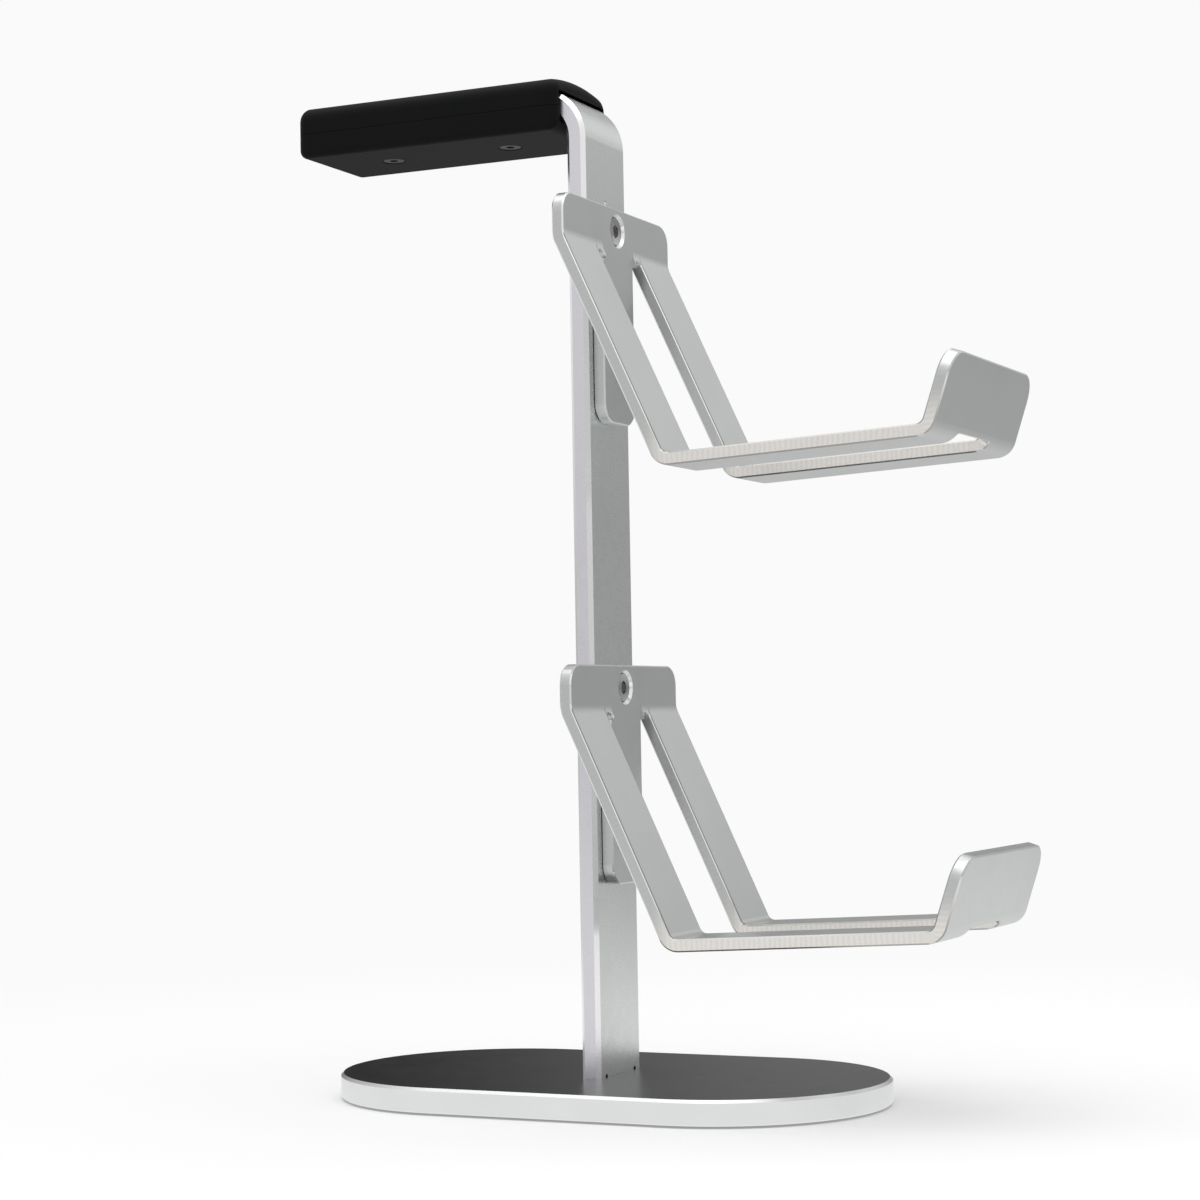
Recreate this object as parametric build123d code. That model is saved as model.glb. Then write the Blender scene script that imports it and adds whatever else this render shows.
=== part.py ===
from build123d import *
import os
from math import atan2, cos, hypot, radians, sin, tan

# A free-standing headphone and controller stand.  A flat-bar post stands on an oval
# base plate and bends over at the top into a level arm with a moulded saddle for the
# headband.  Two identical cut-and-bent sheet hooks hang on the post's front face, each
# on a single screw that it can be swivelled about.
#
# Frame: millimetres, +Z up, origin at the centre of the underside.  The hooks reach
# towards +X and the saddle arm towards -X; Y runs across the bar.

# ---------------------------------------------------------------- driving dimensions
BASE_LENGTH = 142.0
BASE_WIDTH = 81.0
BASE_TOP = 6.5
BASE_UNDERSIDE = 0.5
BASE_CHAMFER = 0.7

PAD_MARGIN = 5.0
PAD_THICKNESS = 1.5
PAD_GAP = 0.1
PAD_CHAMFER = 0.2

BAR_WIDTH = 24.2
BAR_THICKNESS = 5.0
BAR_CHAMFER = 1.0
BEND_INNER_RADIUS = 8.0
ARM_UNDERSIDE = 246.0
ARM_END = -74.0

TENON_WIDTH = 15.0
TENON_DEPTH = 3.0
TENON_GAP = 0.05
RELIEF_RADIUS = 0.7

SADDLE_WIDTH = 31.0
SADDLE_START = -3.8
SADDLE_END = -78.0
SADDLE_BOTTOM = 239.8
SADDLE_CROWN = 254.2
SADDLE_SHOULDER = 252.4
SADDLE_SHOULDER_RADIUS = 4.0
SADDLE_UNDER_RADIUS = 1.6
SADDLE_END_RADIUS = 2.6
SADDLE_GAP = 0.1
SADDLE_MOUTH_GAP = 0.8
SADDLE_MOUTH_DEPTH = 3.5

SHEET = 3.05
HOOK_WIDTH = 62.6
HOOK_BACK_GAP = 0.1
HOOK_INNER_RADIUS = 2.0
EAR_BEND_RADIUS = 5.5
EAR_ABOVE_SCREW = 5.5
EAR_BELOW_SCREW = 5.1
TRAY_DROP = 59.4
TRAY_START = 30.7
TRAY_LENGTH = 63.7
TRAY_RISE = 3.1
TIP_HEIGHT = 17.2
TIP_LEAN = 18.0
EAR_CORNER_RADIUS = 5.0
TIP_CORNER_RADIUS = 6.5
SLOT_WIDTH = 25.2
SLOT_CORNER_RADIUS = 1.5
SLOT_END_ANGLE = 54.0
KERF_BELOW_SCREW = 6.2
TONGUE_WIDTH = 18.0
TONGUE_DROP = 48.5
TONGUE_CORNER_RADIUS = 5.0
TONGUE_OVERLAP = 1.0
TONGUE_BEND_GAP = 1.25
SHEET_CHAMFER = 0.35

LOWER_SCREW_HEIGHT = 101.7
UPPER_SCREW_HEIGHT = 215.7

HOOK_SCREW_RADIUS = 2.0
HOOK_SCREW_HEAD_RADIUS = 3.45
HOOK_SCREW_SOCKET = 3.0
HOOK_SCREW_DEPTH = 0.55
HOOK_SCREW_INSET = 0.3
SMALL_SCREW_RADIUS = 1.5
SMALL_SCREW_HEAD_RADIUS = 2.7
SMALL_SCREW_SOCKET = 2.0
SMALL_SCREW_DEPTH = 0.15
HOLE_DEPTH = 10.0
HEAD_LAND = 0.2
SOCKET_DEPTH_SHARE = 0.8
HEAD_GAP = 0.1
RUNNING_GAP = 0.06
CLEARANCE_GAP = 0.2
THREAD_GAP = 0.02
TAP_RUNOUT = 0.5

POST_SCREW_SPACING = 8.4
POST_SCREW_TIP = 14.0
SADDLE_SCREW_POSITIONS = (-24.0, -58.0)
SADDLE_SCREW_TIP = 253.0

PIN_HEIGHT = 222.8
PIN_RADIUS = 0.8
PIN_LENGTH = 3.0
PIN_SUNK = 0.02
PIN_DOME = 0.6

BEYOND = 500.0
TOLERANCE = 0.001

# ------------------------------------------------------------------- derived values
PAD_TOP = PAD_THICKNESS
MORTISE_FLOOR = BASE_TOP - TENON_DEPTH
POST_FRONT = BAR_THICKNESS / 2
ARM_TOP = ARM_UNDERSIDE + BAR_THICKNESS
HOOK_BACK = POST_FRONT + HOOK_BACK_GAP
HOOK_FRONT = HOOK_BACK + SHEET
SLOT_HALF = SLOT_WIDTH / 2
TONGUE_HALF = TONGUE_WIDTH / 2
TONGUE_ROOT = TONGUE_BEND_GAP - EAR_BELOW_SCREW
KERF_RADIUS = (SLOT_HALF - TONGUE_HALF) / 2
KERF_CENTRE = (SLOT_HALF + TONGUE_HALF) / 2


def strip_profile(corners, thickness, inner_radii):
    """Side view of a bent strip whose bends all turn left along `corners`.

    `corners` are the virtual corners of its inner side, as (x, z) pairs, and
    `inner_radii` has one radius for each bend."""
    directions = []
    for (x0, z0), (x1, z1) in zip(corners, corners[1:]):
        length = hypot(x1 - x0, z1 - z0)
        directions.append(((x1 - x0) / length, (z1 - z0) / length))
    outer = []
    for index, (x, z) in enumerate(corners):
        before = directions[max(index - 1, 0)]
        after = directions[min(index, len(directions) - 1)]
        normal = (before[1] + after[1], -before[0] - after[0])
        scale = 2 * thickness / (normal[0] ** 2 + normal[1] ** 2)
        outer.append((x + normal[0] * scale, z + normal[1] * scale))
    outer_radii = [radius + thickness for radius in inner_radii]
    inner_edge = FilletPolyline(*corners, radius=inner_radii)
    outer_edge = FilletPolyline(*outer, radius=outer_radii)
    ends = [Line(corners[0], outer[0]), Line(corners[-1], outer[-1])]
    return make_face([inner_edge, outer_edge] + ends)


def extrude_across(profile, width):
    """Extrudes an (x, z) face by `width`, centred on Y = 0."""
    return extrude(Plane.XZ * profile, amount=width / 2, both=True)


def block(x_range, y_range, z_range):
    """A box between the given limits."""
    size = [high - low for low, high in (x_range, y_range, z_range)]
    centre = [(high + low) / 2 for low, high in (x_range, y_range, z_range)]
    return Pos(*centre) * Box(*size)


def upright(shape_type, *sizes):
    """A round primitive standing on Z = 0."""
    return shape_type(*sizes, align=(Align.CENTER, Align.CENTER, Align.MIN))


def rod(radius, start, end):
    """A round rod between two points."""
    axis = Vector(*end) - Vector(*start)
    return Plane(origin=start, z_dir=axis) * upright(Cylinder, radius, axis.length)


def countersunk_screw(radius, head_radius, socket, length):
    """A countersunk socket screw: head top at Z = 0, shank pointing to -Z."""
    cone = head_radius - radius
    land = Pos(0, 0, -HEAD_LAND) * upright(Cylinder, head_radius, HEAD_LAND)
    taper = Pos(0, 0, -HEAD_LAND - cone) * upright(Cone, radius, head_radius, cone)
    shank = Pos(0, 0, -length) * upright(Cylinder, radius, length - HEAD_LAND)
    screw = land + taper + shank
    screw = chamfer(screw.edges().group_by(Axis.Z)[0], radius / 5)
    hexagon = RegularPolygon(socket / 2, 6, major_radius=False)
    return screw - extrude(hexagon, amount=-SOCKET_DEPTH_SHARE * cone)


def countersunk_hole(radius, head_radius, depth, length):
    """The space for a screw whose head top is `depth` under the mouth at Z = 0."""
    mouth_radius = head_radius + HEAD_GAP + HEAD_LAND + depth
    cone = mouth_radius - radius
    taper = Pos(0, 0, -cone) * upright(Cone, radius, mouth_radius, cone)
    return taper + Pos(0, 0, -length) * upright(Cylinder, radius, length)


def small_screw(length):
    """A screw of the size that holds the post and the saddle, sunk in its hole."""
    screw = countersunk_screw(
        SMALL_SCREW_RADIUS, SMALL_SCREW_HEAD_RADIUS, SMALL_SCREW_SOCKET, length
    )
    return Pos(0, 0, -SMALL_SCREW_DEPTH) * screw


def small_screw_hole():
    """The clearance hole for such a screw, with its countersunk mouth at Z = 0."""
    radius = SMALL_SCREW_RADIUS + CLEARANCE_GAP
    return countersunk_hole(radius, SMALL_SCREW_HEAD_RADIUS, SMALL_SCREW_DEPTH, HOLE_DEPTH)


# ------------------------------------------------------------------------ base plate
def post_screw_places():
    """Mouths of the two screws that come up through the base, heads downwards."""
    return [
        Pos(0, side * POST_SCREW_SPACING / 2, PAD_TOP) * Rot(180, 0, 0)
        for side in (-1, 1)
    ]


def make_base_plate():
    outline = SlotOverall(BASE_LENGTH, BASE_WIDTH)
    plate = Pos(0, 0, BASE_UNDERSIDE) * extrude(outline, amount=BASE_TOP - BASE_UNDERSIDE)
    plate = chamfer(plate.edges().group_by(Axis.Z)[-1], BASE_CHAMFER)
    plate = chamfer(plate.edges().group_by(Axis.Z)[0], BASE_CHAMFER / 2)
    recess = SlotOverall(BASE_LENGTH - 2 * PAD_MARGIN, BASE_WIDTH - 2 * PAD_MARGIN)
    plate -= extrude(recess, amount=PAD_TOP)
    half_width = TENON_WIDTH / 2 + TENON_GAP
    half_thickness = BAR_THICKNESS / 2 + TENON_GAP
    plate -= block(
        (-half_thickness, half_thickness),
        (-half_width, half_width),
        (MORTISE_FLOOR, BASE_TOP + 1),
    )
    for place in post_screw_places():
        plate -= place * small_screw_hole()
    return plate


def make_base_pad():
    margin = 2 * (PAD_MARGIN + PAD_GAP)
    pad = extrude(SlotOverall(BASE_LENGTH - margin, BASE_WIDTH - margin), amount=PAD_TOP)
    return chamfer(pad.edges().group_by(Axis.Z)[0], PAD_CHAMFER)


# ------------------------------------------------------------------------------ post
def make_post():
    half = BAR_WIDTH / 2
    corners = [
        (-POST_FRONT, MORTISE_FLOOR),
        (-POST_FRONT, ARM_UNDERSIDE),
        (ARM_END, ARM_UNDERSIDE),
    ]
    bar = extrude_across(strip_profile(corners, BAR_THICKNESS, [BEND_INNER_RADIUS]), BAR_WIDTH)
    sides = bar.faces().filter_by(Axis.Y)
    bar = chamfer([edge for face in sides for edge in face.edges()], BAR_CHAMFER)
    relief_offset = TENON_WIDTH / 2 + RELIEF_RADIUS
    for side in (-1, 1):
        inner, outer = side * TENON_WIDTH / 2, side * (half + 1)
        bar -= block(
            (-BAR_THICKNESS, BAR_THICKNESS),
            (min(inner, outer), max(inner, outer)),
            (0, BASE_TOP),
        )
        bar -= rod(
            RELIEF_RADIUS,
            (-BAR_THICKNESS, side * relief_offset, BASE_TOP),
            (BAR_THICKNESS, side * relief_offset, BASE_TOP),
        )
        bar -= rod(
            SMALL_SCREW_RADIUS + THREAD_GAP,
            (0, side * POST_SCREW_SPACING / 2, 0),
            (0, side * POST_SCREW_SPACING / 2, POST_SCREW_TIP + TAP_RUNOUT),
        )
    for height in (LOWER_SCREW_HEIGHT, UPPER_SCREW_HEIGHT):
        bar -= rod(
            HOOK_SCREW_RADIUS + THREAD_GAP,
            (-BAR_THICKNESS, 0, height),
            (BAR_THICKNESS, 0, height),
        )
    for x in SADDLE_SCREW_POSITIONS:
        hole_radius = SMALL_SCREW_RADIUS + CLEARANCE_GAP
        bar -= rod(hole_radius, (x, 0, ARM_UNDERSIDE - 1), (x, 0, ARM_TOP + 1))
    bar -= rod(
        PIN_RADIUS + THREAD_GAP,
        (POST_FRONT - PIN_LENGTH, 0, PIN_HEIGHT),
        (BAR_THICKNESS, 0, PIN_HEIGHT),
    )
    return bar


def make_post_screws():
    screw = small_screw(POST_SCREW_TIP - PAD_TOP)
    return Compound(children=[place * screw for place in post_screw_places()])


def make_height_pin():
    pin = rod(
        PIN_RADIUS,
        (POST_FRONT - PIN_LENGTH, 0, PIN_HEIGHT),
        (POST_FRONT - PIN_SUNK, 0, PIN_HEIGHT),
    )
    return fillet(pin.edges().group_by(Axis.X)[-1], PIN_DOME)


# ---------------------------------------------------------------------------- saddle
def saddle_body():
    """The saddle's outside, cradle and cover together."""
    half = SADDLE_WIDTH / 2
    section = make_face(
        [
            Line((-half, SADDLE_SHOULDER), (-half, SADDLE_BOTTOM)),
            Line((-half, SADDLE_BOTTOM), (half, SADDLE_BOTTOM)),
            Line((half, SADDLE_BOTTOM), (half, SADDLE_SHOULDER)),
            ThreePointArc((half, SADDLE_SHOULDER), (0, SADDLE_CROWN), (-half, SADDLE_SHOULDER)),
        ]
    )
    body = extrude(Plane.YZ * section, amount=SADDLE_START - SADDLE_END)
    body = Pos(SADDLE_END, 0, 0) * body
    long_edges = body.edges().filter_by(Axis.X).group_by(Axis.Z)
    body = fillet(long_edges[-1], SADDLE_SHOULDER_RADIUS)
    long_edges = body.edges().filter_by(Axis.X).group_by(Axis.Z)
    body = fillet(long_edges[0], SADDLE_UNDER_RADIUS)
    ends = body.faces().filter_by(Axis.X)
    return fillet([edge for face in ends for edge in face.edges()], SADDLE_END_RADIUS)


def arm_space(gap):
    """The post's bend and arm, larger by `gap` all round, without their chamfers."""
    corners = [
        (-POST_FRONT - gap, SADDLE_BOTTOM - 20),
        (-POST_FRONT - gap, ARM_UNDERSIDE - gap),
        (ARM_END - gap, ARM_UNDERSIDE - gap),
    ]
    profile = strip_profile(corners, BAR_THICKNESS + 2 * gap, [BEND_INNER_RADIUS - gap])
    return extrude_across(profile, BAR_WIDTH + 2 * gap)


def saddle_screw_places():
    """Mouths of the two saddle screws, heads downwards."""
    return [Pos(x, 0, SADDLE_BOTTOM) * Rot(180, 0, 0) for x in SADDLE_SCREW_POSITIONS]


def make_saddle_cradle():
    """Upper half: crown and side walls down to the level of the arm's underside."""
    upper = block((-BEYOND, BEYOND), (-BEYOND, BEYOND), (ARM_UNDERSIDE, BEYOND))
    cradle = (saddle_body() & upper) - arm_space(SADDLE_GAP)
    mouth_end = SADDLE_START - SADDLE_MOUTH_DEPTH
    mouth = block((mouth_end, BEYOND), (-BEYOND, BEYOND), (ARM_UNDERSIDE, BEYOND))
    cradle -= arm_space(SADDLE_MOUTH_GAP) & mouth
    for x in SADDLE_SCREW_POSITIONS:
        cradle -= rod(
            SMALL_SCREW_RADIUS + THREAD_GAP,
            (x, 0, ARM_UNDERSIDE),
            (x, 0, SADDLE_SCREW_TIP + TAP_RUNOUT),
        )
    return cradle


def make_saddle_cover():
    """Lower half: closes the cradle under the arm and carries the screw heads."""
    lower = block((-BEYOND, BEYOND), (-BEYOND, BEYOND), (0, ARM_UNDERSIDE - SADDLE_GAP))
    cover = (saddle_body() & lower) - arm_space(CLEARANCE_GAP)
    for place in saddle_screw_places():
        cover -= place * small_screw_hole()
    return cover


def make_saddle_screws():
    screw = small_screw(SADDLE_SCREW_TIP - SADDLE_BOTTOM)
    return Compound(children=[place * screw for place in saddle_screw_places()])


# ----------------------------------------------------------------------------- hooks
def hook_corners():
    """Virtual corners of the hook's front and upper side, from the screw's height."""
    tray_end = TRAY_START + TRAY_LENGTH
    tray_end_height = TRAY_RISE - TRAY_DROP
    return [
        (HOOK_FRONT, EAR_ABOVE_SCREW),
        (HOOK_FRONT, -EAR_BELOW_SCREW),
        (TRAY_START, -TRAY_DROP),
        (tray_end, tray_end_height),
        (tray_end + TIP_HEIGHT * tan(radians(TIP_LEAN)), tray_end_height + TIP_HEIGHT),
    ]


def is_across_sheet(edge):
    """True for a straight edge that runs through the sheet's thickness."""
    return edge.geom_type == GeomType.LINE and abs(edge.length - SHEET) < TOLERANCE


def hook_blank():
    """The bent sheet before its slot is cut, corners rounded and edges broken."""
    bend_radii = [EAR_BEND_RADIUS, HOOK_INNER_RADIUS, HOOK_INNER_RADIUS]
    blank = extrude_across(strip_profile(hook_corners(), SHEET, bend_radii), HOOK_WIDTH)
    thin_edges = [edge for edge in blank.edges() if is_across_sheet(edge)]
    ear_edges = [edge for edge in thin_edges if edge.center().Z > 0]
    blank = fillet(ear_edges, EAR_CORNER_RADIUS)
    thin_edges = [edge for edge in blank.edges() if is_across_sheet(edge)]
    far_edges = [edge for edge in thin_edges if edge.center().X > TRAY_START + TRAY_LENGTH]
    blank = fillet(far_edges, TIP_CORNER_RADIUS)
    rim_faces = [
        face
        for face in blank.faces()
        if sum(is_across_sheet(edge) for edge in face.edges()) >= 2
    ]
    rim_faces += blank.faces().filter_by(Axis.Y)
    rim_edges = [
        edge for face in rim_faces for edge in face.edges() if not is_across_sheet(edge)
    ]
    return chamfer(rim_edges, SHEET_CHAMFER)


def tip_bend_centre():
    """The (x, z) centre of the bend between the tray and the tip."""
    tray_angle = atan2(TRAY_RISE, TRAY_LENGTH)
    turn = radians(90 - TIP_LEAN) - tray_angle
    tangent = HOOK_INNER_RADIUS * tan(turn / 2)
    back_x = tangent * cos(tray_angle) + HOOK_INNER_RADIUS * sin(tray_angle)
    rise_z = HOOK_INNER_RADIUS * cos(tray_angle) - tangent * sin(tray_angle)
    return TRAY_START + TRAY_LENGTH - back_x, TRAY_RISE - TRAY_DROP + rise_z


def hook_slot():
    """Everything that is cut out of the blank between the two arms.

    The slot ends part of the way round the last bend, square to the sheet."""
    centre_x, centre_z = tip_bend_centre()
    reach = 2 * (HOOK_INNER_RADIUS + SHEET)
    kerf_end = -KERF_BELOW_SCREW - KERF_RADIUS
    behind_tongue = block((0, TRAY_START), (-TONGUE_HALF, TONGUE_HALF), (-BEYOND, TONGUE_ROOT))
    between_arms = block((0, TRAY_START), (-SLOT_HALF, SLOT_HALF), (-BEYOND, kerf_end))
    along_tray = block((TRAY_START, centre_x), (-SLOT_HALF, SLOT_HALF), (-BEYOND, centre_z))
    round_bend = block((-reach, 0), (-SLOT_HALF, SLOT_HALF), (-reach, 0))
    end_edges = round_bend.edges().filter_by(Axis.Z).group_by(Axis.X)[-1]
    round_bend = fillet(end_edges, SLOT_CORNER_RADIUS)
    round_bend = Pos(centre_x, 0, centre_z) * Rot(0, -SLOT_END_ANGLE, 0) * round_bend
    slot = behind_tongue + between_arms + along_tray + round_bend
    for side in (-1, 1):
        kerf_centre = side * KERF_CENTRE
        slot += rod(KERF_RADIUS, (0, kerf_centre, kerf_end), (TRAY_START, kerf_centre, kerf_end))
    return slot


def slotted_blank():
    """The blank with its slot, whose edges along the arms and tray are broken too."""
    blank = hook_blank() - hook_slot()
    slot_edges = [
        edge
        for edge in blank.edges()
        if abs(abs(edge.center().Y) - SLOT_HALF) < TOLERANCE and not is_across_sheet(edge)
    ]
    return chamfer(slot_edges, SHEET_CHAMFER)


def hook_tongue():
    """The strip left flat on the post when the arms are bent out on either side.

    Its root, where it still joins the arms, keeps square edges."""
    tongue = block(
        (HOOK_BACK, HOOK_FRONT),
        (-TONGUE_HALF, TONGUE_HALF),
        (-TONGUE_DROP, TONGUE_ROOT + TONGUE_OVERLAP),
    )
    low_corners = tongue.edges().filter_by(Axis.X).group_by(Axis.Z)[0]
    tongue = fillet(low_corners, TONGUE_CORNER_RADIUS)
    rim_edges = [
        edge
        for edge in tongue.edges()
        if not is_across_sheet(edge) and edge.center().Z < TONGUE_ROOT
    ]
    root = block(
        (HOOK_BACK, HOOK_FRONT),
        (-TONGUE_HALF, TONGUE_HALF),
        (-KERF_BELOW_SCREW - KERF_RADIUS, TONGUE_ROOT + TONGUE_OVERLAP),
    )
    return chamfer(rim_edges, SHEET_CHAMFER) + root


def make_hook(screw_height):
    """One hook, with the head of its screw countersunk into the ear."""
    hook = slotted_blank() + hook_tongue()
    hole = countersunk_hole(
        HOOK_SCREW_RADIUS + RUNNING_GAP, HOOK_SCREW_HEAD_RADIUS, HOOK_SCREW_DEPTH, HOLE_DEPTH
    )
    hook -= Pos(HOOK_FRONT, 0, 0) * Rot(0, 90, 0) * hole
    return Pos(0, 0, screw_height) * hook


def make_hook_screw(screw_height):
    head_top = HOOK_FRONT - HOOK_SCREW_DEPTH
    length = head_top + POST_FRONT - HOOK_SCREW_INSET
    screw = countersunk_screw(
        HOOK_SCREW_RADIUS, HOOK_SCREW_HEAD_RADIUS, HOOK_SCREW_SOCKET, length
    )
    return Pos(head_top, 0, screw_height) * Rot(0, 90, 0) * screw


nodes = {
    "base_plate": make_base_plate(),
    "base_pad": make_base_pad(),
    "post": make_post(),
    "post_screws": make_post_screws(),
    "height_pin": make_height_pin(),
    "saddle_cradle": make_saddle_cradle(),
    "saddle_cover": make_saddle_cover(),
    "saddle_screws": make_saddle_screws(),
    "lower_hook": make_hook(LOWER_SCREW_HEIGHT),
    "lower_hook_screw": make_hook_screw(LOWER_SCREW_HEIGHT),
    "upper_hook": make_hook(UPPER_SCREW_HEIGHT),
    "upper_hook_screw": make_hook_screw(UPPER_SCREW_HEIGHT),
}

os.makedirs("parts", exist_ok=True)
for name, shape in nodes.items():
    export_step(shape, f"parts/{name}.step")
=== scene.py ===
import math
import bmesh
import bpy
from mathutils import Matrix, Vector


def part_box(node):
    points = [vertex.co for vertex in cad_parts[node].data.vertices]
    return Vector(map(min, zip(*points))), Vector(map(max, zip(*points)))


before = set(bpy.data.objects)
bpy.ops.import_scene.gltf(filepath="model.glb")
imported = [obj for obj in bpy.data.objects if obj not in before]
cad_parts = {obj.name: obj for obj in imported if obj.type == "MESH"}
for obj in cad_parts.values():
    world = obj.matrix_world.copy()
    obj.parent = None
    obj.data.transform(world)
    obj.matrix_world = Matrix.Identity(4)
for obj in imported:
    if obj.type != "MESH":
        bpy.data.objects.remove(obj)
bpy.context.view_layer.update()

MM = 0.001


def centre_of(node):
    low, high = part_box(node)
    return tuple((a + b) / 2 for a, b in zip(low, high))


# ------------------------------------------------------------------ places in the frame
HOOK_NODES = ("lower_hook", "upper_hook")
screw_height = {node: centre_of(node + "_screw")[2] for node in HOOK_NODES}
COUNTERSINK_RADIUS = 4.4 * MM
SCREW_HEAD_RADIUS = 3.45 * MM
POST_SCREW_OFFSET = 4.2 * MM
SADDLE_SCREW_X = (-24.0 * MM, -58.0 * MM)

# Across a hook: half its width, and half the width of its slot.
SHEET_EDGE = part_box("upper_hook")[1][1]
SLOT_EDGE = 12.6 * MM

# A hook's bends. Heights are measured from its screw, and each pair is a soft limit.
EAR_BEND_HEIGHT = (-5.6 * MM, -4.6 * MM)
TRAY_BEND_HEIGHT = (-53 * MM, -51 * MM)
TRAY_BEND_X = (27 * MM, 29 * MM)
TIP_BEND_X = (92 * MM, 95 * MM)

# The direction each stretch of the sheet faces, as its x and z parts.
EAR_NORMAL = (1.0, 0.0)
ARM_NORMAL = (0.908, 0.418)
TRAY_NORMAL = (-0.05, 1.0)
TIP_NORMAL = (-0.95, 0.31)
ARM_PATH = (0.42, 0.91)

# Where a hook's cut edges and chamfers change their painted light and shade between the arms, the
# tray and the tip.
TRAY_PAINTED_LIGHT_HEIGHT = (-57 * MM, -47 * MM)
TRAY_PAINTED_LIGHT_X = (25 * MM, 31 * MM)
TIP_PAINTED_HIGHLIGHT_X = (85 * MM, 95 * MM)

# The thin painted shade line just inside a hook's edges, standing in for the dark part of the
# chamfers' reflection.
SHADE_LINE_NEAR = 0.17 * MM
SHADE_LINE_FAR = 0.5 * MM
SHADE_LINE_SOFT = 0.03 * MM

STRIATION_PITCH = 1.3 * MM
TURNING_PITCH = 0.16 * MM


# ------------------------------------------------------------------ node-graph helpers
SOCKETS = {
    "colour": "Base Color",
    "rough": "Roughness",
    "metal": "Metallic",
    "normal": "Normal",
    "specular": "Specular IOR Level",
}


class Graph:
    """A small builder for a material's nodes: values go in, sockets come out."""

    def __init__(self, tree):
        self.tree = tree

    def add(self, kind, **settings):
        node = self.tree.nodes.new(kind)
        for name, value in settings.items():
            setattr(node, name, value)
        return node

    def feed(self, socket, value):
        if isinstance(value, bpy.types.NodeSocket):
            self.tree.links.new(value, socket)
        else:
            socket.default_value = value

    def math(self, operation, *values):
        node = self.add("ShaderNodeMath", operation=operation)
        for socket, value in zip(node.inputs, values):
            self.feed(socket, value)
        return node.outputs[0]

    def times(self, a, b):
        return self.math("MULTIPLY", a, b)

    def plus(self, a, b):
        return self.math("ADD", a, b)

    def ramp(self, value, low, high, out_low=0.0, out_high=1.0):
        """`value` from low..high eased onto out_low..out_high."""
        node = self.add("ShaderNodeMapRange", interpolation_type="SMOOTHSTEP")
        for socket, item in zip(node.inputs, (value, low, high, out_low, out_high)):
            self.feed(socket, item)
        return node.outputs[0]

    def fall(self, value, low, high):
        """1 below low, easing to 0 above high."""
        return self.ramp(value, low, high, 1.0, 0.0)

    def band(self, value, low, high, soft):
        """1 between low and high, 0 outside."""
        rise = self.ramp(value, low - soft, low + soft)
        return self.times(rise, self.fall(value, high - soft, high + soft))

    def mix(self, factor, a, b):
        """From colour a to colour b."""
        node = self.add("ShaderNodeMix", data_type="RGBA")
        self.feed(node.inputs[0], factor)
        self.feed(node.inputs[6], a)
        self.feed(node.inputs[7], b)
        return node.outputs[2]

    def blend(self, factor, a, b):
        """From number a to number b."""
        node = self.add("ShaderNodeMix", data_type="FLOAT")
        self.feed(node.inputs[0], factor)
        self.feed(node.inputs[2], a)
        self.feed(node.inputs[3], b)
        return node.outputs[0]

    def coords(self, kind="Object"):
        return self.add("ShaderNodeTexCoord").outputs[kind]

    def split(self, vector):
        node = self.add("ShaderNodeSeparateXYZ")
        self.feed(node.inputs[0], vector)
        return tuple(node.outputs)

    def facing(self):
        """Object-space parts of the flat face normal."""
        turn = self.add(
            "ShaderNodeVectorTransform",
            vector_type="NORMAL",
            convert_from="WORLD",
            convert_to="OBJECT",
        )
        self.feed(turn.inputs[0], self.add("ShaderNodeNewGeometry").outputs["True Normal"])
        return self.split(turn.outputs[0])

    def seen_by_camera(self):
        return self.add("ShaderNodeLightPath").outputs["Is Camera Ray"]

    def noise(self, coords, scale, detail=3.0, rough=0.55):
        node = self.add("ShaderNodeTexNoise")
        self.feed(node.inputs["Vector"], coords)
        self.feed(node.inputs["Scale"], scale)
        self.feed(node.inputs["Detail"], detail)
        self.feed(node.inputs["Roughness"], rough)
        return node.outputs[0]

    def grooves(self, along, pitch):
        """A 0..1 wave that repeats every `pitch` of `along`."""
        phase = self.times(along, 2 * math.pi / pitch)
        return self.math("MULTIPLY_ADD", self.math("SINE", phase), 0.5, 0.5)

    def radius(self, u, v, u0=0.0, v0=0.0):
        du = self.math("SUBTRACT", u, u0)
        dv = self.math("SUBTRACT", v, v0)
        return self.math("SQRT", self.plus(self.times(du, du), self.times(dv, dv)))

    def bump(self, height, distance, strength, onto=None):
        node = self.add("ShaderNodeBump")
        self.feed(node.inputs["Height"], height)
        self.feed(node.inputs["Distance"], distance)
        self.feed(node.inputs["Strength"], strength)
        if onto is not None:
            self.feed(node.inputs["Normal"], onto)
        return node.outputs[0]


def new_material(name):
    material = bpy.data.materials.new(name)
    material.use_nodes = True
    shader = material.node_tree.nodes["Principled BSDF"]
    return material, Graph(material.node_tree), shader


def surface(graph, shader, **values):
    for key, value in values.items():
        graph.feed(shader.inputs[SOCKETS[key]], value)


def grey(level, tint=(1.0, 1.0, 1.0)):
    return tuple(level * part for part in tint) + (1.0,)


# -------------------------------------------------------------------------- materials
COOL = (0.975, 1.0, 0.985)
WARM = (1.0, 0.97, 0.93)
LILAC = (1.0, 0.98, 1.03)
RUBBER_TINT = (0.97, 1.0, 1.02)
DARK_TOP = ((0.15, 0.15, 0.161, 1.0), (0.185, 0.185, 0.197, 1.0))

# How squarely a face has to look along an axis to count as facing it.
FACING = (0.9, 0.97)
FACING_SIDE = (0.92, 0.97)


def blasted(g, coords, level, rough):
    """Colour, roughness and normal of fine blasted, clear-anodised aluminium."""
    cloud = g.noise(coords, scale=45.0, detail=2.0)
    grain = g.noise(coords, scale=2600.0, detail=2.0, rough=0.7)
    colour = g.mix(cloud, grey(level * 0.95, COOL), grey(level * 1.04, COOL))
    roughness = g.blend(g.noise(coords, scale=300.0), rough - 0.05, rough + 0.05)
    normal = g.bump(grain, distance=0.02 * MM, strength=0.25)
    return colour, roughness, normal


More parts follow.
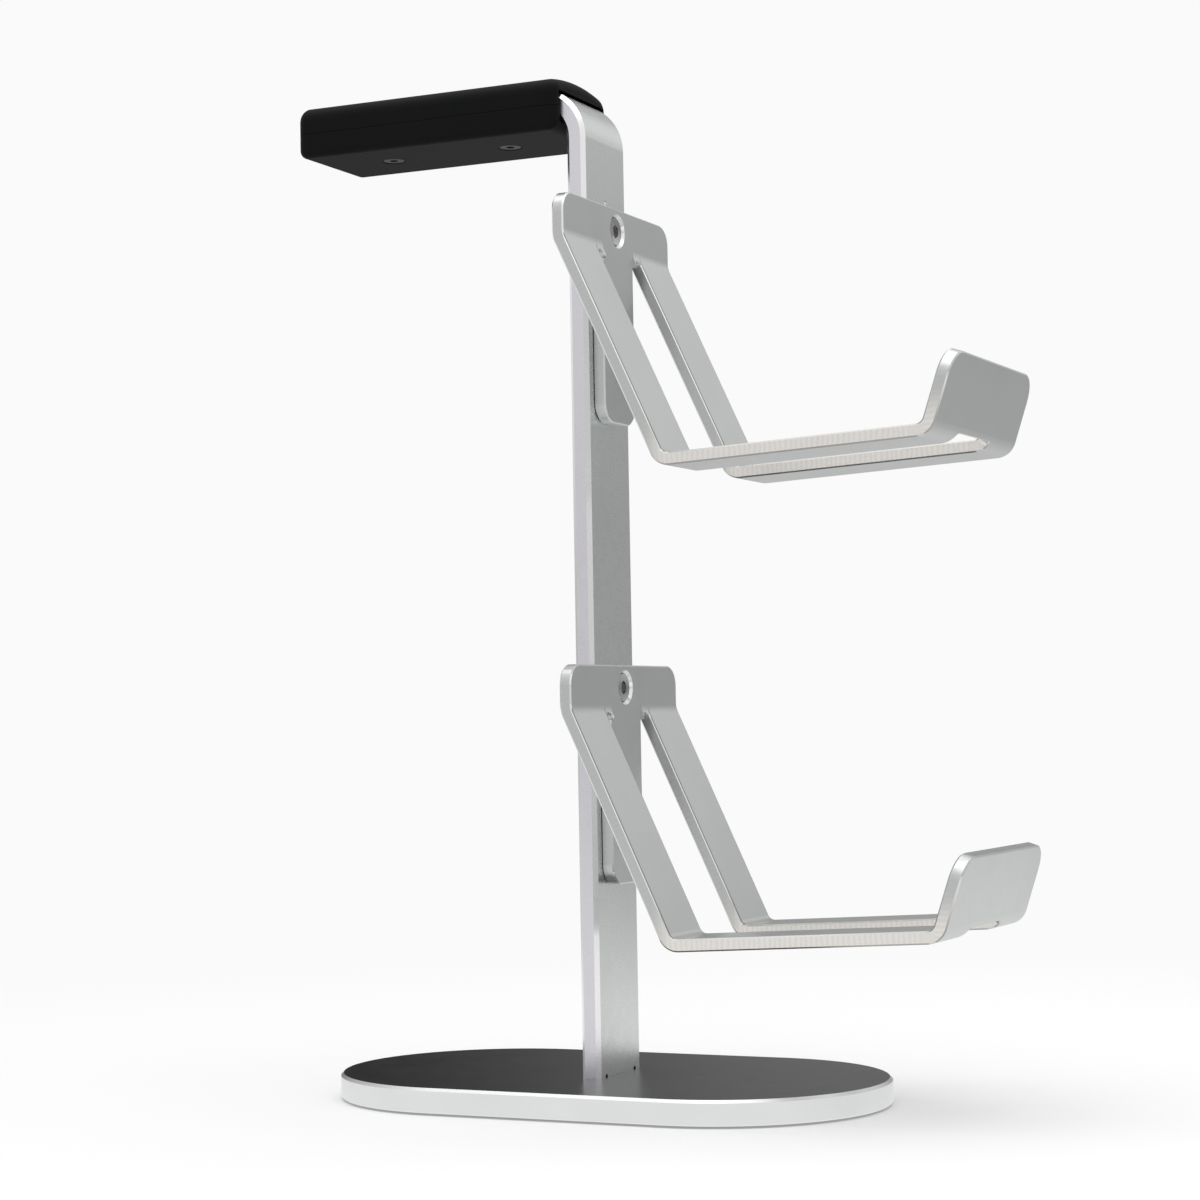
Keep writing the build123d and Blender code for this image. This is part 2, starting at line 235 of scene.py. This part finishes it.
def bar_finish():
    """Satin bar with a slightly lilac narrow side and smoother chamfers, painted near white as a
    highlight.
    """
    material, g, shader = new_material("bar_satin")
    side = g.math("ABSOLUTE", g.facing()[1])
    chamfer = g.band(side, low=0.4, high=0.9, soft=0.05)
    colour, rough, normal = blasted(g, g.coords(), level=0.78, rough=0.28)
    colour = g.mix(g.ramp(side, *FACING_SIDE), colour, grey(0.76, LILAC))
    # The chamfers' near-white colour is a painted highlight; their lower roughness is real.
    colour = g.mix(chamfer, colour, grey(0.95))
    rough = g.blend(chamfer, rough, 0.2)
    surface(g, shader, colour=colour, rough=rough, metal=1.0, normal=normal)
    return material


def base_finish():
    """Dark satin top over a silver rim, with a greyer chamfer and underside."""
    material, g, shader = new_material("base_dark_top")
    coords = g.coords()
    upward = g.facing()[2]
    top = g.ramp(upward, *FACING)
    under = g.fall(upward, -FACING[1], -FACING[0])
    chamfer = g.band(upward, low=0.5, high=0.9, soft=0.05)
    silver, rough, normal = blasted(g, coords, level=0.84, rough=0.34)
    dark = g.mix(g.noise(coords, scale=60.0), *DARK_TOP)
    dark_rough = g.blend(g.noise(coords, scale=220.0), 0.26, 0.33)
    colour = g.mix(chamfer, silver, grey(0.7))
    colour = g.mix(top, colour, dark)
    colour = g.mix(under, colour, grey(0.5))
    rough = g.blend(chamfer, rough, 0.36)
    rough = g.blend(top, rough, dark_rough)
    surface(g, shader, colour=colour, rough=rough, metal=1.0, normal=normal)
    return material


def hook_finish(node):
    """Satin sheet, striated where it is cut, with smoother edges and countersink; the chamfers
    carry a painted highlight, the tray a painted change of light, and the edges a painted shade
    line.
    """
    material, g, shader = new_material(node + "_sheet")
    coords = g.coords()
    x, y, z = g.split(coords)
    nx, ny, nz = g.facing()
    height = g.math("SUBTRACT", z, screw_height[node])
    colour, rough, grain = blasted(g, coords, level=0.66, rough=0.36)

    # Which stretch of the bent sheet this is: ear, slanted arm, tray or tip.
    below_ear = g.fall(height, *EAR_BEND_HEIGHT)
    on_tray = g.times(g.fall(height, *TRAY_BEND_HEIGHT), g.ramp(x, *TRAY_BEND_X))
    on_tip = g.ramp(x, *TIP_BEND_X)

    def by_stretch(ear, arm, tray, tip):
        return g.blend(on_tip, g.blend(on_tray, g.blend(below_ear, ear, arm), tray), tip)

    # How squarely the face looks out of the sheet tells broad face, chamfer and cut edge apart.
    sheet_x, sheet_z = (
        by_stretch(*parts) for parts in zip(EAR_NORMAL, ARM_NORMAL, TRAY_NORMAL, TIP_NORMAL)
    )
    outward = g.math("ABSOLUTE", g.plus(g.times(nx, sheet_x), g.times(nz, sheet_z)))
    cut = g.fall(outward, 0.15, 0.3)
    chamfer = g.times(
        g.band(outward, low=0.5, high=0.88, soft=0.04),
        g.ramp(g.math("ABSOLUTE", ny), 0.55, 0.65),
    )

    # Cut edges: striations across the path of the sheet.
    arm_path = g.math("SUBTRACT", g.times(x, ARM_PATH[0]), g.times(height, ARM_PATH[1]))
    along = g.blend(on_tip, g.blend(on_tray, arm_path, x), height)
    waver = g.times(g.noise(coords, scale=150.0), 2.0 * MM)
    wave = g.times(g.grooves(g.plus(along, waver), STRIATION_PITCH), cut)
    # low marks the tray for painted light and shade: there the cut faces are painted lighter and
    # warmer than on the arms, their striations darker, and the chamfers darker.
    low = g.times(g.fall(height, *TRAY_PAINTED_LIGHT_HEIGHT), g.ramp(x, *TRAY_PAINTED_LIGHT_X))
    milled = g.mix(low, grey(0.6, COOL), grey(0.9, WARM))
    colour = g.mix(cut, colour, milled)
    colour = g.mix(g.times(wave, g.blend(low, 0.1, 0.18)), colour, grey(0.46, WARM))
    normal = g.bump(wave, distance=0.012 * MM, strength=0.5, onto=grain)

    # Countersink and chamfers are smoother than the broad faces. The chamfers' colour is a painted
    # highlight: near white on the arms, greyer on the tip, and a painted shade on the tray.
    from_screw = g.radius(y, height)
    in_cone = g.fall(from_screw, COUNTERSINK_RADIUS, COUNTERSINK_RADIUS + 0.1 * MM)
    cone = g.times(in_cone, g.fall(nx, *FACING))
    painted_chamfer_light = g.mix(g.ramp(x, *TIP_PAINTED_HIGHLIGHT_X), grey(0.93), grey(0.74, COOL))
    painted_chamfer_light = g.mix(low, painted_chamfer_light, grey(0.4, WARM))
    colour = g.mix(chamfer, g.mix(cone, colour, grey(0.74, COOL)), painted_chamfer_light)
    rough = g.blend(g.math("MAXIMUM", cone, chamfer), rough, 0.22)

    # A thin painted shade line runs inside the outer edges and the slot, on the arms and the tray.
    side = g.math("ABSOLUTE", y)
    outer_shade_line = g.band(side, SHEET_EDGE - SHADE_LINE_FAR, SHEET_EDGE - SHADE_LINE_NEAR, SHADE_LINE_SOFT)
    slot_shade_line = g.band(side, SLOT_EDGE + SHADE_LINE_NEAR, SLOT_EDGE + SHADE_LINE_FAR, SHADE_LINE_SOFT)
    shade_line = g.times(g.plus(outer_shade_line, slot_shade_line), g.ramp(nx, 0.2, 0.3))
    shade_line = g.times(shade_line, g.times(below_ear, g.math("SUBTRACT", 1.0, on_tip)))
    colour = g.mix(g.times(shade_line, 0.75), colour, grey(0.1))
    surface(g, shader, colour=colour, rough=rough, metal=1.0, normal=normal)
    return material


def turned_finish(name, level, rough, centres, across, dish=0.0):
    """Turned steel: fine rings about the nearest of `centres`, with the face dished by `dish`."""
    material, g, shader = new_material(name)
    coords = g.coords()
    axes = dict(zip("xyz", g.split(coords)))
    u, v = (axes[letter] for letter in across)
    distance = None
    for u0, v0 in centres:
        here = g.radius(u, v, u0, v0)
        distance = here if distance is None else g.math("MINIMUM", distance, here)
    cloud = g.noise(coords, scale=700.0)
    colour = g.mix(cloud, grey(level * 0.85), grey(level * 1.1))
    roughness = g.blend(cloud, rough - 0.06, rough + 0.06)
    normal = g.bump(g.grooves(distance, TURNING_PITCH), distance=0.01 * MM, strength=0.5)
    if dish:
        share = g.math("DIVIDE", distance, SCREW_HEAD_RADIUS)
        normal = g.bump(g.times(share, share), distance=dish, strength=1.0, onto=normal)
    surface(g, shader, colour=colour, rough=roughness, metal=1.0, normal=normal)
    return material


def rubber_finish(name, level, rough, grain_scale, grain_depth):
    """Matte black rubber with a fine grain."""
    material, g, shader = new_material(name)
    coords = g.coords()
    grain = g.noise(coords, grain_scale, rough=0.6)
    cloud = g.noise(coords, scale=60.0, detail=2.0)
    colour = g.mix(cloud, grey(level * 0.85, RUBBER_TINT), grey(level * 1.2, RUBBER_TINT))
    roughness = g.blend(grain, rough - 0.08, rough + 0.08)
    normal = g.bump(grain, grain_depth, strength=0.8)
    surface(
        g, shader, colour=colour, rough=roughness, metal=0.0, normal=normal, specular=0.05
    )
    return material


def dress(node, material):
    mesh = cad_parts[node].data
    mesh.materials.clear()
    mesh.materials.append(material)


dress("post", bar_finish())
dress("base_plate", base_finish())
for hook in HOOK_NODES:
    dress(hook, hook_finish(hook))
    steel = turned_finish(
        hook + "_screw_steel",
        level=0.5,
        rough=0.2,
        centres=[(0.0, screw_height[hook])],
        across="yz",
        dish=0.5 * MM,
    )
    dress(hook + "_screw", steel)

# The pin's steel is painted near white so that it shows as a bright dot: a painted glint.
pin_steel_painted_glint = turned_finish(
    "pin_steel_painted_glint", level=0.95, rough=0.45, centres=[centre_of("height_pin")[1:]], across="yz"
)
dress("height_pin", pin_steel_painted_glint)

post_centres = [(0.0, -POST_SCREW_OFFSET), (0.0, POST_SCREW_OFFSET)]
post_steel = turned_finish(
    "post_screw_steel", level=0.6, rough=0.3, centres=post_centres, across="xy"
)
dress("post_screws", post_steel)

saddle_centres = [(x, 0.0) for x in SADDLE_SCREW_X]
saddle_black = turned_finish(
    "saddle_screw_black", level=0.06, rough=0.35, centres=saddle_centres, across="xy"
)
dress("saddle_screws", saddle_black)

saddle_rubber = rubber_finish(
    "saddle_rubber", level=0.006, rough=0.5, grain_scale=2600.0, grain_depth=0.03 * MM
)
dress("saddle_cradle", saddle_rubber)
dress("saddle_cover", saddle_rubber)

pad_rubber = rubber_finish(
    "pad_rubber", level=0.03, rough=0.75, grain_scale=1500.0, grain_depth=0.08 * MM
)
dress("base_pad", pad_rubber)


# ------------------------------------------------------------------------------ stage
PALE = (0.955, 0.955, 0.955, 1.0)
FLOOR_COLOUR = (0.93, 0.93, 0.93, 1.0)
FLOOR_RADIUS = 0.9
FLOOR_DROP = 0.05 * MM
CONTACT_RADIUS = (0.14, 0.5)

# The painted bounce light the floor glows with towards the object, in place of being lit: in front
# of it, and behind it near and far.
FRONT_GLOW = 0.93
NEAR_GLOW = 0.86
FAR_GLOW = 0.6
GLOW_RADIUS = (0.22, 0.55)
FRONT_TO_BACK = (-0.08, 0.08)

# Brightness of the studio's parts.
LEFT_WALL = 0.29
RIGHT_WALL = 0.22
HIGH_RIGHT = 0.3
BELOW_HORIZON = 0.16
OFF_HORIZON_LOW = 0.2
AHEAD = 0.82
HORIZON_DIP = -0.35


def build_floor():
    """A pale disc: to the camera, shaded near the object and plain pale further out; to every
    other ray it glows with a painted bounce light instead of being lit.
    """
    shape = bmesh.new()
    bmesh.ops.create_circle(shape, cap_ends=True, segments=96, radius=FLOOR_RADIUS)
    mesh = bpy.data.meshes.new("floor")
    shape.to_mesh(mesh)
    shape.free()
    floor = bpy.data.objects.new("floor", mesh)
    floor.location.z = -FLOOR_DROP
    bpy.context.scene.collection.objects.link(floor)

    material, g, shader = new_material("floor_pale")
    surface(g, shader, colour=FLOOR_COLOUR, rough=0.7, metal=0.0)
    x, y, _ = g.split(g.coords())
    distance = g.radius(x, y)
    camera = g.seen_by_camera()
    back_glow = g.ramp(distance, *GLOW_RADIUS, NEAR_GLOW, FAR_GLOW)
    bounce = g.blend(g.ramp(y, *FRONT_TO_BACK), FRONT_GLOW, back_glow)
    glow = g.add("ShaderNodeEmission")
    g.feed(glow.inputs[0], g.mix(camera, bounce, PALE))
    fade = g.math("MAXIMUM", g.math("SUBTRACT", 1.0, camera), g.ramp(distance, *CONTACT_RADIUS))
    join = g.add("ShaderNodeMixShader")
    g.feed(join.inputs[0], fade)
    g.feed(join.inputs[1], shader.outputs[0])
    g.feed(join.inputs[2], glow.outputs[0])
    output = material.node_tree.nodes["Material Output"]
    g.feed(output.inputs[0], join.outputs[0])
    mesh.materials.append(material)


def build_world():
    """The studio by direction: bright overhead and in front, with dimmer walls behind."""
    world = bpy.data.worlds.new("studio")
    bpy.context.scene.world = world
    world.use_nodes = True
    g = Graph(world.node_tree)
    x, y, z = g.split(g.coords("Generated"))

    left_wall = g.ramp(x, -0.5, -0.34, 0.0, LEFT_WALL)
    right_wall = g.ramp(x, -0.1, 0.3, 0.0, RIGHT_WALL)
    off_horizon = g.ramp(z, 0.05, 0.2, OFF_HORIZON_LOW, 1.0)
    high_right = g.times(g.ramp(z, 0.2, 0.32), g.ramp(x, -0.05, 0.12, 0.0, HIGH_RIGHT))
    below = g.ramp(z, -0.07, 0.0, BELOW_HORIZON, 0.0)
    behind = g.plus(left_wall, g.times(right_wall, off_horizon))
    behind = g.plus(behind, g.plus(high_right, below))

    dip = g.band(z, low=-0.05, high=0.08, soft=0.05)
    ahead = g.math("MULTIPLY_ADD", dip, HORIZON_DIP, AHEAD)
    in_front = g.math("MAXIMUM", g.fall(y, -0.35, 0.35), g.fall(x, -0.9, -0.7))
    walls = g.blend(in_front, behind, ahead)
    level = g.blend(g.ramp(z, 0.35, 0.85), walls, 1.0)
    shade = g.mix(g.seen_by_camera(), level, PALE)
    g.feed(world.node_tree.nodes["Background"].inputs[0], shade)


def add_softbox(name, place, aim, width, height, power):
    light = bpy.data.lights.new(name, "AREA")
    light.shape = "RECTANGLE"
    light.size = width
    light.size_y = height
    light.energy = power
    lamp = bpy.data.objects.new(name, light)
    lamp.location = place
    lamp.rotation_euler = (Vector(aim) - Vector(place)).to_track_quat("-Z", "Y").to_euler()
    bpy.context.scene.collection.objects.link(lamp)


build_floor()
build_world()
add_softbox(
    "overhead", place=(0.1, -0.1, 1.1), aim=(0.0, 0.0, 0.0), width=1.2, height=1.2, power=5.0
)

# ----------------------------------------------------------------------------- camera
# Fitted to the outlines of the base, the post and both hooks in the photo.
AZIMUTH = math.radians(25.21)
ELEVATION = math.radians(-2.45)
ROLL = math.radians(-1.0)
AIM = Vector((-0.957, 0.0, 123.64)) * MM
DISTANCE = 686.02 * MM
LENS = 82.43
SENSOR = 36.0

back = Vector(
    (
        math.sin(AZIMUTH) * math.cos(ELEVATION),
        -math.cos(AZIMUTH) * math.cos(ELEVATION),
        math.sin(ELEVATION),
    )
)
right = Vector((math.cos(AZIMUTH), math.sin(AZIMUTH), 0.0))
up = back.cross(right)
rolled_right = right * math.cos(ROLL) + up * math.sin(ROLL)
rolled_up = up * math.cos(ROLL) - right * math.sin(ROLL)
camera_data = bpy.data.cameras.new("camera")
camera_data.lens = LENS
camera_data.sensor_width = SENSOR
camera = bpy.data.objects.new("camera", camera_data)
turn = Matrix((rolled_right, rolled_up, back)).transposed().to_4x4()
camera.matrix_world = Matrix.Translation(AIM + back * DISTANCE) @ turn
bpy.context.scene.collection.objects.link(camera)
bpy.context.scene.camera = camera
bpy.context.scene.view_settings.view_transform = "Standard"
